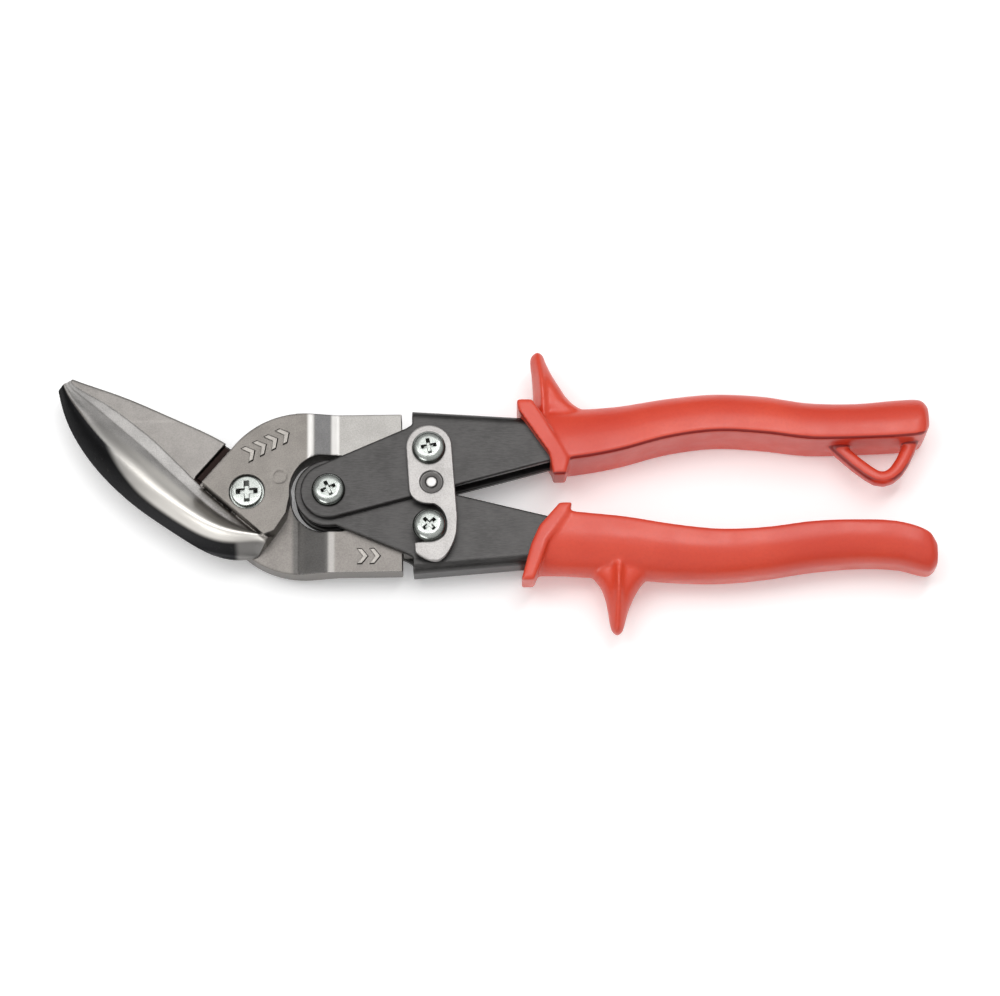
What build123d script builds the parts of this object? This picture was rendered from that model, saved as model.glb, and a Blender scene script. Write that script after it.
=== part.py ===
from build123d import *
import os
from math import cos, radians, sin

# Offset compound-action aviation snips, lying on their back with the blades to -X.
# Millimetres.  Plan points are measured from the handle pivot, with +X towards the grips,
# and heights from the shear plane, the plane in which the two blades slide on each other.

os.makedirs("parts", exist_ok=True)

# ---- where the tool lies -------------------------------------------------------------
handle_pivot_x = -44.1       # puts the middle of the tool's footprint at the origin
handle_pivot_y = -0.3
shear_height = 9.0           # shear plane above the floor

# ---- linkage: four pivots, symmetric about the tool's centre line ----------------------
blade_pivot_x = -21.8
link_x = 26.9
link_y = 10.8

# ---- running clearances ----------------------------------------------------------------
slide_gap = 0.05             # between faces that slide on each other
shaft_gap = 0.06             # round a shaft in its hole
open_link_gap = 0.22         # round the upper link screw in the front blade's tang

# ---- forged blades -----------------------------------------------------------------------
boss_thickness = 6.0
tang_drop = 2.0              # the tangs step towards each other by this much
tang_edge_y = 21.7
tang_end_x = 19.6
hub_clearance = 10.45        # radius of the cut-out round the handle pivot
lug_radius = 6.3
tang_bend_radius = 2.0
pivot_head_radius = 4.15
pivot_bore_radius = 4.7
pivot_bore_depth = 1.7

# ---- sheet-metal handles -------------------------------------------------------------------
sheet = 1.9
channel_back = -4.0          # the upper handle; the lower one is the same part turned over
channel_front = 6.0
small_eye_radius = 7.5
large_eye_radius = 9.2
web_start_x = 22.4
web_bend_radius = 2.6

# ---- grips -----------------------------------------------------------------------------------
grip_back = -9.0
grip_front = 8.4
collar_front = 9.0
outer_edge_radius = 5.5
inner_edge_radius = 1.6

# ---- fasteners -------------------------------------------------------------------------------
blade_shaft_radius = 3.0
handle_shaft_radius = 2.5
link_shaft_radius = 2.0
head_radius = 4.5
head_height = 2.1
nut_height = 2.95
bush_radius = 4.3
collar_radius = 2.4

# ---- latch -------------------------------------------------------------------------------------
latch_bottom = 6.4
latch_thickness = 1.5
latch_width_radius = 6.1
washer_radius = 4.2

# ---- opening spring ------------------------------------------------------------------------------
wire_radius = 0.55
coil_radius = 6.3
coil_pitch = 1.15
coil_turns = 2.5

link_head_bottom = latch_bottom + latch_thickness + slide_gap
blade_pivot = (blade_pivot_x, 0)
upper_link = (link_x, link_y)
lower_link = (link_x, -link_y)


def layer(height):
    """The plan plane at a height above the shear plane, with the handle pivot at (0, 0)."""
    return Plane((handle_pivot_x, handle_pivot_y, shear_height + height))


def turned_over(part):
    """The part turned by half a turn about the tool's centre line in the shear plane."""
    centre_line = Axis((handle_pivot_x, handle_pivot_y, shear_height), (1, 0, 0))
    return part.rotate(centre_line, 180)


def save(part, name):
    part.label = name
    export_step(part, f"parts/{name}.step")


def round_hole(center, radius, bottom, top):
    """A closed cylinder to cut a hole with, from one height to another."""
    with BuildPart() as cutter:
        with BuildSketch(layer(bottom)):
            with Locations(center):
                Circle(radius)
        extrude(amount=top - bottom)
    return cutter.part


# ======================================================================================
# Blades
# ======================================================================================

def tang_and_boss():
    """Boss plate and joggled tang of the front blade, without the jaw."""
    tang_start = -8.5        # where the underside begins to step down
    ramp = 7.5
    top_shift = 3.6          # the bends of the upper side lie further towards the grips
    side = Plane((handle_pivot_x, handle_pivot_y, shear_height), x_dir=(1, 0, 0), z_dir=(0, -1, 0))
    with BuildPart() as plate:
        with BuildSketch(side):
            with BuildLine():
                FilletPolyline(
                    (-45, 0),
                    (tang_start, 0),
                    (tang_start + ramp, -tang_drop),
                    (40, -tang_drop),
                    (40, boss_thickness - tang_drop),
                    (tang_start + top_shift + ramp, boss_thickness - tang_drop),
                    (tang_start + top_shift, boss_thickness),
                    (-45, boss_thickness),
                    radius=tang_bend_radius,
                    close=True,
                )
            make_face()
        extrude(amount=30, both=True)
        with BuildSketch(layer(-tang_drop)):
            with BuildLine():
                arc_start = (hub_clearance * cos(radians(104)), hub_clearance * sin(radians(104)))
                arc_mid = (hub_clearance * cos(radians(147)), hub_clearance * sin(radians(147)))
                arc_end = (hub_clearance * cos(radians(187)), hub_clearance * sin(radians(187)))
                Line((-33.9, 2.8), (-26.1, 11.9))
                ThreePointArc((-26.1, 11.9), (-17.4, 19.2), (-5.0, tang_edge_y))
                Line((-5.0, tang_edge_y), (tang_end_x, tang_edge_y))
                Line((tang_end_x, tang_edge_y), (tang_end_x, 17.0))
                Polyline((tang_end_x, 17.0), (tang_end_x, 5.6), (3.2, 10.2), arc_start)
                ThreePointArc(arc_start, arc_mid, arc_end)
                Polyline(arc_end, (-11.3, -6.1), (-14.4, -10.9), (-17.2, -12.0), (-33.9, 2.8))
            make_face()
            with Locations(upper_link):
                Circle(lug_radius)
            with BuildLine():
                Polyline(
                    (tang_end_x - 1, link_y + lug_radius - 0.6),
                    (link_x, link_y + lug_radius),
                    (link_x, link_y - lug_radius),
                    (tang_end_x - 1, 5.9),
                    close=True,
                )
            make_face()
        extrude(amount=boss_thickness + tang_drop, mode=Mode.INTERSECT)
    return plate.part


def jaw(stations):
    """A forged jaw on the shear plane, lofted through cross-sections.

    Each station is the cutting-edge point, the outer point, the crown's height, the crown's
    place as a part of the width, and the flank's height half-way down as a part of the crown's.
    """
    with BuildPart() as body:
        for edge, outer, crown, crown_at, flank in stations:
            width = ((outer[0] - edge[0]) ** 2 + (outer[1] - edge[1]) ** 2) ** 0.5
            across = Vector((outer[0] - edge[0]) / width, (outer[1] - edge[1]) / width, 0)
            start = layer(0).from_local_coords(Vector(edge[0], edge[1], 0))
            bevel_end = min(0.22, 0.5 * crown_at) * width
            ridge = crown_at * width
            with BuildSketch(Plane(start, x_dir=across, z_dir=across.cross(Vector(0, 0, 1)))):
                with BuildLine():
                    Polyline((width, 0.7), (width - 0.3, 0), (0, 0), (0.25, 0.30 * crown),
                             (bevel_end, 0.42 * crown))
                    Spline(
                        (bevel_end, 0.42 * crown),
                        (0.52 * (bevel_end + ridge), 0.81 * crown),
                        (ridge, crown),
                        ((ridge + width) / 2, flank * crown),
                        (width, 0.7),
                    )
                make_face()
        loft()
    return body.part


lower_jaw_stations = [
    ((-70.3, 34.0), (-73.6, 30.8), 1.9, 0.45, 0.8),
    ((-67.8, 31.5), (-72.6, 26.6), 2.8, 0.52, 0.76),
    ((-61.9, 27.9), (-70.0, 19.6), 4.2, 0.56, 0.74),
    ((-55.2, 23.0), (-65.1, 11.4), 5.6, 0.59, 0.73),
    ((-49.3, 18.1), (-60.2, 5.4), 6.6, 0.60, 0.72),
    ((-43.0, 12.0), (-53.6, -1.0), 7.3, 0.60, 0.72),
    ((-37.5, 6.3), (-47.2, -6.0), 7.8, 0.60, 0.72),
    ((-32.6, 1.2), (-40.6, -10.6), 8.0, 0.58, 0.7),
    ((-26.4, -4.2), (-33.2, -15.2), 7.6, 0.50, 0.66),
    ((-20.4, -8.6), (-25.8, -17.6), 6.4, 0.30, 0.6),
    ((-14.4, -10.9), (-19.0, -16.8), 5.6, 0.3, 0.6),
]

upper_jaw_stations = [
    ((-70.9, 33.4), (-69.9, 34.6), 1.2, 0.40, 0.8),
    ((-68.6, 29.6), (-65.6, 32.9), 2.0, 0.50, 0.76),
    ((-62.6, 25.4), (-57.8, 30.0), 2.8, 0.55, 0.74),
    ((-56.2, 20.6), (-49.5, 26.4), 3.6, 0.60, 0.74),
    ((-49.6, 14.9), (-41.1, 22.4), 4.4, 0.62, 0.74),
    ((-43.6, 9.0), (-33.6, 18.8), 5.0, 0.64, 0.74),
    ((-38.0, 3.0), (-27.2, 15.1), 5.6, 0.60, 0.74),
    ((-31.0, -3.0), (-20.0, 12.0), 6.0, 0.50, 0.74),
]


def front_blade_part():
    """Lower jaw, raised boss plate and upper tang."""
    with BuildPart() as blade:
        add(tang_and_boss())
        add(jaw(lower_jaw_stations))
        bore_floor = boss_thickness - pivot_bore_depth
        add(round_hole(blade_pivot, blade_shaft_radius + shaft_gap, -1, 9), mode=Mode.SUBTRACT)
        add(round_hole(blade_pivot, pivot_bore_radius, bore_floor, 9), mode=Mode.SUBTRACT)
        add(round_hole(upper_link, link_shaft_radius + open_link_gap, -4, 9), mode=Mode.SUBTRACT)
        with BuildSketch(layer(boss_thickness)):
            with Locations((-13.1, 4.1)):
                Circle(2.0)
                Circle(1.6, mode=Mode.SUBTRACT)
        extrude(amount=-0.25, mode=Mode.SUBTRACT)
    return blade.part


def rear_blade_part():
    """Upper jaw, rear boss plate and lower tang, a hair behind the shear plane."""
    with BuildPart() as blade:
        add(turned_over(tang_and_boss()))
        add(jaw(upper_jaw_stations).mirror(layer(0)))
        with BuildSketch(layer(0)):
            with BuildLine():
                Polyline((-36.2, 5.9), (-34.3, 4.4), (-25.6, 14.6), (-27.6, 15.9), close=True)
            make_face()
        extrude(amount=-1.2, mode=Mode.SUBTRACT)
        with BuildSketch(layer(-slide_gap)):
            Rectangle(75, 22, align=(Align.MAX, Align.MIN))
            Rectangle(75, 22, align=(Align.MAX, Align.MAX))
        extrude(amount=2 * slide_gap, mode=Mode.SUBTRACT)
        shaft = blade_shaft_radius + shaft_gap
        add(round_hole(blade_pivot, shaft, -9, 1), mode=Mode.SUBTRACT)
        add(round_hole(lower_link, link_shaft_radius + shaft_gap, -9, 4), mode=Mode.SUBTRACT)
    return blade.part


front_blade = front_blade_part()
rear_blade = rear_blade_part()


# ======================================================================================
# Handles
# ======================================================================================

# the web's outer line and the open side's line, from the linkage to the end of the grip
web_line = [(web_start_x, 22.4), (51, 20.3), (70, 19.9), (87, 21.4), (104, 22.9), (118, 22.0),
            (134, 19.9), (150, 20.4)]
open_line = [(58.8, 7.4), (77, 11.6), (90, 15.2), (104, 17.4), (118, 16.4), (134, 14.4), (150, 14.4)]


def channel_envelope():
    """The upper handle as a full block, without its inside."""
    with BuildPart() as block:
        with BuildSketch(layer(channel_back)):
            with BuildLine():
                web = Polyline(web_line[0], web_line[1])
                outer = Spline(*web_line[1:], tangents=[(1, -0.06), (1, 0.1)])
                end = Line(outer @ 1, open_line[-1])
                inner = Spline(*open_line[::-1], tangents=[(-1, 0), (-1, -0.24)])
                eye_x = -small_eye_radius * cos(radians(66))
                eye_y = small_eye_radius * sin(radians(66))
                low_x = small_eye_radius * sin(radians(13.6))
                low_y = -small_eye_radius * cos(radians(13.6))
                Line(open_line[0], (low_x, low_y))
                ThreePointArc((low_x, low_y), (-small_eye_radius, 0), (eye_x, eye_y))
                Polyline((eye_x, eye_y), (20.9, 17.2), (web_start_x, 18.2), web_line[0])
            make_face()
        extrude(amount=channel_front - channel_back)
        corner = shear_height + (channel_back + channel_front) / 2
        long_edges = block.edges().filter_by(
            lambda e: e.length > 10
            and abs(e.center().Z - corner) > 4.9
            and e.center().Y > handle_pivot_y + 20.0
        )
        fillet(long_edges, web_bend_radius)
    return block.part


def upper_handle_part():
    """Pressed channel, open towards the other handle, with an eye at the end of each flange."""
    flange_top = channel_front - sheet
    flange_bottom = channel_back + sheet
    with BuildPart() as handle:
        add(channel_envelope())
        with BuildSketch(layer(channel_back)):
            Circle(large_eye_radius)
        extrude(amount=sheet)
        with BuildSketch(layer(flange_bottom)):
            with BuildLine():
                inner_web = [(x, y - sheet) for x, y in web_line]
                Polyline(inner_web[0], inner_web[1])
                outer = Spline(*inner_web[1:], tangents=[(1, -0.06), (1, 0.1)])
                Polyline(outer @ 1, (152, 18), (152, -12), (-12, -12), (-12, 24),
                         (web_start_x, 24), inner_web[0])
            make_face()
        extrude(amount=flange_top - flange_bottom, mode=Mode.SUBTRACT)
        pivot_hole = handle_shaft_radius + shaft_gap
        link_hole = link_shaft_radius + shaft_gap
        add(round_hole((0, 0), pivot_hole, -7, 9), mode=Mode.SUBTRACT)
        add(round_hole(upper_link, link_hole, -7, 9), mode=Mode.SUBTRACT)
    return handle.part


upper_handle = upper_handle_part()
lower_handle = turned_over(upper_handle)


# ======================================================================================
# Grips
# ======================================================================================

def grip_body(side, stations):
    """The long moulded body, lofted through cross-sections that stand across the tool.

    Each station is its x, the distances of the outer and inner side from the centre line,
    and the heights of its back and front.  The outer corners are rounder than the inner ones.
    """
    with BuildPart() as body:
        for x, outer, inner, back, front in stations:
            at = layer(0).from_local_coords(Vector(x, 0, 0))
            with BuildSketch(Plane(at, x_dir=(0, side, 0), z_dir=(side, 0, 0))):
                wide = min(outer_edge_radius, 0.44 * (outer - inner), 0.44 * (front - back))
                crisp = min(inner_edge_radius, 0.3 * wide)
                with BuildLine():
                    Line((inner + crisp, back), (outer - wide, back))
                    TangentArc((outer - wide, back), (outer, back + wide), tangent=(1, 0))
                    Line((outer, back + wide), (outer, front - wide))
                    TangentArc((outer, front - wide), (outer - wide, front), tangent=(0, 1))
                    Line((outer - wide, front), (inner + crisp, front))
                    TangentArc((inner + crisp, front), (inner, front - crisp), tangent=(-1, 0))
                    Line((inner, front - crisp), (inner, back + crisp))
                    TangentArc((inner, back + crisp), (inner + crisp, back), tangent=(0, -1))
                make_face()
        loft()
    return body.part


def plan_block(points, bottom, top, edge_radius):
    """A straight-sided block on plan points, with its top and bottom edges rounded."""
    with BuildPart() as block:
        with BuildSketch(layer(bottom)):
            with BuildLine():
                Polyline(*points, close=True)
            make_face()
        extrude(amount=top - bottom)
        flat_edges = block.edges().filter_by(lambda e: abs(e.tangent_at(0.5).Z) < 0.5)
        fillet(flat_edges, edge_radius)
    return block.part


def spur(base_left, base_right, tip, tip_radius):
    """Finger guard: a horn that narrows in width and in thickness towards its tip."""
    side = 1 if tip[1] > 0 else -1
    with BuildPart() as horn:
        middle_x = (base_left[0] + base_right[0]) / 2
        middle_y = (base_left[1] + base_right[1]) / 2
        for share, half_height in ((0.0, 6.5), (0.45, 3.9), (1.0, 2.2)):
            x = middle_x + (tip[0] - middle_x) * share
            y = middle_y + (tip[1] - side * tip_radius - middle_y) * share
            width = (base_right[0] - base_left[0]) * (1 - share) ** 1.6 + 2 * tip_radius * share
            at = layer(0).from_local_coords(Vector(x, y, 0))
            with BuildSketch(Plane(at, x_dir=(1, 0, 0), z_dir=(0, side, 0))):
                Ellipse(width / 2, half_height)
        loft()
        with Locations(layer(0).from_local_coords(Vector(tip[0], tip[1] - side * tip_radius, 0))):
            Sphere(tip_radius)
    return horn.part


def hang_loop():
    """Triangular loop under the end of the upper grip."""
    with BuildPart() as loop:
        with BuildSketch(layer(-2.6)):
            with BuildLine():
                Polyline((133.5, 13.5), (145.0, 2.2), (148.0, 1.2), (151.5, 2.6), (155.6, 6.6),
                         (161.0, 17.5), (158, 20), (136, 18), close=True)
            make_face()
            with BuildLine():
                Polyline((142.6, 10.6), (150.9, 11.8), (153.2, 10.6), (151.6, 5.6), (149.2, 4.6),
                         close=True)
            make_face(mode=Mode.SUBTRACT)
        extrude(amount=5.2)
        flat_edges = loop.edges().filter_by(lambda e: abs(e.tangent_at(0.5).Z) < 0.5)
        fillet(flat_edges, 0.8)
    return loop.part


def grip_stations(outline):
    """Cross-section stations from plan outline points, thinning towards the end of the grip."""
    back = grip_back + 0.2   # the collars, not the grips, lie on the floor
    return [(x, outer, inner, back + slim, grip_front - slim) for x, outer, inner, slim in outline]


def upper_grip_part():
    """Vinyl sleeve of the upper handle, with collar, finger guard and hang loop."""
    outline = [
        (55.5, 23.4, 8.6, 0),
        (66, 23.4, 7.4, 0),
        (78, 24.0, 9.4, 0),
        (91, 25.7, 12.8, 0),
        (104, 26.7, 14.4, 0),
        (117, 25.9, 13.6, 0),
        (129, 23.9, 12.0, 0.2),
        (142, 23.5, 12.0, 0.4),
        (154, 24.5, 12.4, 0.5),
        (159.8, 24.4, 13.4, 0.8),
        (161.4, 22.2, 16.0, 2.8),
    ]
    with BuildPart() as grip:
        add(grip_body(1, grip_stations(outline)))
        add(plan_block([(50.4, 24.2), (50.9, 21.0), (59.1, 8.7), (60.0, 2.8), (63.4, 2.8), (64.4, 6.8),
                        (58.2, 18.6), (54.6, 24.2)], grip_back, collar_front, 0.8))
        add(spur((52.2, 22.6), (66.5, 22.6), (56.2, 39.8), 1.5))
        add(hang_loop())
        add(channel_envelope(), mode=Mode.SUBTRACT)
    return grip.part


def lower_grip_part():
    """Vinyl sleeve of the lower handle, with collar and finger guard."""
    outline = [
        (55.5, 22.6, 10.5, 0),
        (66, 23.0, 7.2, 0),
        (79, 23.9, 8.8, 0),
        (92, 25.0, 11.1, 0),
        (104, 25.2, 12.5, 0),
        (116, 24.2, 12.2, 0),
        (129, 22.3, 10.7, 0),
        (142, 21.4, 10.4, 0.2),
        (152, 22.3, 11.1, 0.4),
        (159.6, 24.6, 13.8, 0.8),
        (161.8, 22.6, 16.6, 2.8),
    ]
    with BuildPart() as grip:
        add(grip_body(-1, grip_stations(outline)))
        add(plan_block([(51.0, -26.2), (53.7, -16.3), (56.0, -11.2), (61.5, -4.9), (65.0, -4.9),
                        (63.6, -8.4), (58.4, -15.6), (54.4, -26.2)], grip_back, collar_front, 0.8))
        add(spur((68.2, -22.8), (85.2, -22.8), (76.3, -39.2), 1.5))
        add(turned_over(channel_envelope()), mode=Mode.SUBTRACT)
    return grip.part


upper_grip = upper_grip_part()
lower_grip = lower_grip_part()


# ======================================================================================
# Fasteners
# ======================================================================================

def cross_recess(center, top, size, depth):
    """A cross-shaped cutter for a screw head."""
    with BuildPart() as cutter:
        with BuildSketch(layer(top - depth)):
            with Locations(center):
                Rectangle(size, 0.26 * size, rotation=12)
                Rectangle(0.26 * size, size, rotation=12)
        extrude(amount=depth + 1)
    return cutter.part


def pan_screw(center, shaft_radius, head_bottom, radius, height, shaft_bottom):
    """Pan-head screw with a cross recess; its shaft ends flush with its nut."""
    with BuildPart() as screw:
        with BuildSketch(layer(shaft_bottom)):
            with Locations(center):
                Circle(shaft_radius)
        extrude(amount=head_bottom - shaft_bottom)
        with BuildSketch(layer(head_bottom)):
            with Locations(center):
                Circle(radius)
        extrude(amount=height)
        rim = screw.faces().sort_by(Axis.Z)[-1].edges()
        fillet(rim, 0.6 * height)
        add(cross_recess(center, head_bottom + height, radius, 0.6 * height), mode=Mode.SUBTRACT)
    return screw.part


def thin_nut(center, shaft_radius, top, flats):
    """Thin hexagon nut with chamfered corners, pressed on the end of its screw."""
    with BuildPart() as nut:
        with BuildSketch(layer(top - nut_height)):
            with Locations(center):
                RegularPolygon(flats / 2, 6, major_radius=False)
        extrude(amount=nut_height)
        chamfer(nut.faces().sort_by(Axis.Z)[0].edges(), 0.3)
        add(round_hole(center, shaft_radius, top - nut_height - 1, top + 1), mode=Mode.SUBTRACT)
    return nut.part


def ring(center, outer_radius, inner_radius, bottom, thickness):
    """Flat ring: a washer, spacer or collar."""
    with BuildPart() as part:
        with BuildSketch(layer(bottom)):
            with Locations(center):
                Circle(outer_radius)
                Circle(inner_radius, mode=Mode.SUBTRACT)
        extrude(amount=thickness)
    return part.part


rear_nut_top = -boss_thickness - slide_gap
head_seat = boss_thickness - pivot_bore_depth + slide_gap
washer_thickness = 0.5
blade_pivot_washer = ring(blade_pivot, pivot_bore_radius - 0.1, blade_shaft_radius, head_seat,
                          washer_thickness)
with BuildPart() as blade_pivot_screw:
    with BuildSketch(layer(rear_nut_top - nut_height)):
        with Locations(blade_pivot):
            Circle(blade_shaft_radius)
    extrude(amount=head_seat + washer_thickness - rear_nut_top + nut_height)
    with BuildSketch(layer(head_seat + washer_thickness)):
        with Locations(blade_pivot):
            Circle(pivot_head_radius)
    extrude(amount=1.5)
    chamfer(blade_pivot_screw.faces().sort_by(Axis.Z)[-1].edges(), 0.35)
    add(cross_recess(blade_pivot, head_seat + washer_thickness + 1.5, 5.2, 1.3), mode=Mode.SUBTRACT)
blade_pivot_nut = thin_nut(blade_pivot, blade_shaft_radius, rear_nut_top, 10.0)

handle_head_bottom = channel_front + slide_gap
handle_pivot_screw = pan_screw((0, 0), handle_shaft_radius, handle_head_bottom, head_radius, head_height,
                               rear_nut_top - nut_height)
handle_pivot_nut = thin_nut((0, 0), handle_shaft_radius, rear_nut_top, 8.0)
bush_half_height = channel_front - 2 * sheet - 0.1 - slide_gap
handle_pivot_bush = ring((0, 0), bush_radius, handle_shaft_radius + shaft_gap, -bush_half_height,
                         2 * bush_half_height)

upper_nut_top = channel_back - slide_gap
upper_link_screw = pan_screw(upper_link, link_shaft_radius, link_head_bottom, head_radius, head_height,
                             upper_nut_top - nut_height)
upper_link_nut = thin_nut(upper_link, link_shaft_radius, upper_nut_top, 7.0)
lower_link_screw = pan_screw(lower_link, link_shaft_radius, link_head_bottom, head_radius, head_height,
                             rear_nut_top - nut_height)
lower_link_nut = thin_nut(lower_link, link_shaft_radius, rear_nut_top, 7.0)
collar_bottom = -channel_back + slide_gap
lower_link_collar = ring(lower_link, collar_radius, link_shaft_radius, collar_bottom,
                         link_head_bottom - collar_bottom)


# ======================================================================================
# Latch
# ======================================================================================

latch_washer = ring(upper_link, washer_radius, link_shaft_radius, channel_front + slide_gap,
                    latch_bottom - channel_front - 2 * slide_gap)

with BuildPart() as latch:
    with BuildSketch(layer(latch_bottom)):
        with BuildLine():
            left = (link_x - latch_width_radius, link_y + 0.4)
            right = (link_x + latch_width_radius, link_y + 0.4)
            ThreePointArc(left, (link_x, link_y + 0.4 + latch_width_radius), right)
            Polyline(right, (34.3, -8.3), (34.1, -12.2))
            Spline((34.1, -12.2), (32.6, -16.8), (29.0, -20.4), (25.6, -19.7), (23.1, -17.9))
            Polyline((23.1, -17.9), (22.9, -15.4))
            Spline((22.9, -15.4), (26.9, -14.9), (30.4, -13.6), (31.4, -10.0), (30.4, -6.7), (28.0, -4.7))
            Spline((28.0, -4.7), (25.0, -4.3), (22.6, -2.9), (21.5, -0.3))
            Line((21.5, -0.3), left)
        make_face()
    extrude(amount=latch_thickness)
    with BuildSketch(layer(latch_bottom + latch_thickness)):
        with Locations((27.5, 1.4)):
            Circle(3.1)
            Circle(1.5, mode=Mode.SUBTRACT)
    extrude(amount=-0.6, mode=Mode.SUBTRACT)
    hole = round_hole(upper_link, link_shaft_radius + shaft_gap, latch_bottom - 1, 9)
    add(hole, mode=Mode.SUBTRACT)


# ======================================================================================
# Opening spring
# ======================================================================================

coil_height = coil_pitch * coil_turns
coil_plane = Plane(layer(-coil_height / 2).origin, x_dir=(0, 1, 0), z_dir=(0, 0, 1))
coil = Helix(coil_pitch, coil_height, coil_radius).moved(coil_plane.location)


def spring_leg(side, coil_end, outwards):
    """Leg from one end of the coil, between the link lugs, out to the handle's web."""
    knee = coil_end + Vector(5, -side * 0.55, 0)
    between_lugs = coil_end + Vector(31.5, -side * 3.45, 0)
    tip = coil_end + Vector(48.5, side * 11.7, 0)
    with BuildPart() as leg:
        with BuildLine() as route:
            Spline(coil_end, knee, tangents=[outwards, (1, -side * 0.11, 0)])
            FilletPolyline(knee, between_lugs, tip, radius=4)
        with BuildSketch(Plane(coil_end, z_dir=outwards)):
            Circle(wire_radius)
        sweep(path=route.wires()[0])
    return leg.part


with BuildPart() as handle_spring:
    with BuildSketch(Plane(coil @ 0, z_dir=coil % 0)):
        Circle(wire_radius)
    sweep(path=Wire([coil]), is_frenet=True)
    add(spring_leg(1, coil @ 0, coil % 0 * -1))
    add(spring_leg(-1, coil @ 1, coil % 1))


# ======================================================================================
# Files
# ======================================================================================

save(front_blade, "front_blade")
save(rear_blade, "rear_blade")
save(upper_handle, "upper_handle")
save(lower_handle, "lower_handle")
save(upper_grip, "upper_grip")
save(lower_grip, "lower_grip")
save(blade_pivot_washer, "blade_pivot_washer")
save(blade_pivot_screw.part, "blade_pivot_screw")
save(blade_pivot_nut, "blade_pivot_nut")
save(handle_pivot_screw, "handle_pivot_screw")
save(handle_pivot_nut, "handle_pivot_nut")
save(handle_pivot_bush, "handle_pivot_bush")
save(upper_link_screw, "upper_link_screw")
save(upper_link_nut, "upper_link_nut")
save(lower_link_screw, "lower_link_screw")
save(lower_link_nut, "lower_link_nut")
save(lower_link_collar, "lower_link_collar")
save(latch_washer, "latch_washer")
save(latch.part, "latch")
save(handle_spring.part, "handle_spring")
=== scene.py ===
from math import cos, pi, radians, sin

import bpy
from mathutils import Matrix, Vector

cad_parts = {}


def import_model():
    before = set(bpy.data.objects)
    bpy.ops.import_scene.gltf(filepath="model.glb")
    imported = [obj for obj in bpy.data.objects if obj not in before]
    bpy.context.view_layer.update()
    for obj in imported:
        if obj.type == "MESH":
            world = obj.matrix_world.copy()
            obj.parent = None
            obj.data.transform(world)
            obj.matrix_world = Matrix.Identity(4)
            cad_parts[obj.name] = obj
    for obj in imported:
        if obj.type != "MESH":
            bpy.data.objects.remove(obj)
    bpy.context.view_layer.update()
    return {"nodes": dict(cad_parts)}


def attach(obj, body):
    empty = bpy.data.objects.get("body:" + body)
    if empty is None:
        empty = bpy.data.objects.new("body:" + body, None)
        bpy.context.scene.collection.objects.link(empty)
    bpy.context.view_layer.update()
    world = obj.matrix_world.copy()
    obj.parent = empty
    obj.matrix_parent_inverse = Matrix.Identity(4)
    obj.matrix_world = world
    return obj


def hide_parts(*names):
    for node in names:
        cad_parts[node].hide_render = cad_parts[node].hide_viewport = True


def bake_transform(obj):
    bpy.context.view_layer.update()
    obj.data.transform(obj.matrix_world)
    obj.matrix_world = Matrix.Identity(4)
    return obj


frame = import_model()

# Looks of a pair of aviation snips.  Shapes are given in millimetres: plan points from the
# handle pivot with +X towards the grips, and heights from the shear plane, as in the CAD source.
nodes = frame["nodes"]

handle_pivot_x = -44.1
handle_pivot_y = -0.3
shear_height = 9.0
mm = 0.001


def place(x, y, z):
    """A point of the tool in metres, in the shared frame."""
    return Vector((x + handle_pivot_x, y + handle_pivot_y, z + shear_height)) * mm


# ======================================================================================
# Material helpers
# ======================================================================================

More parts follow.
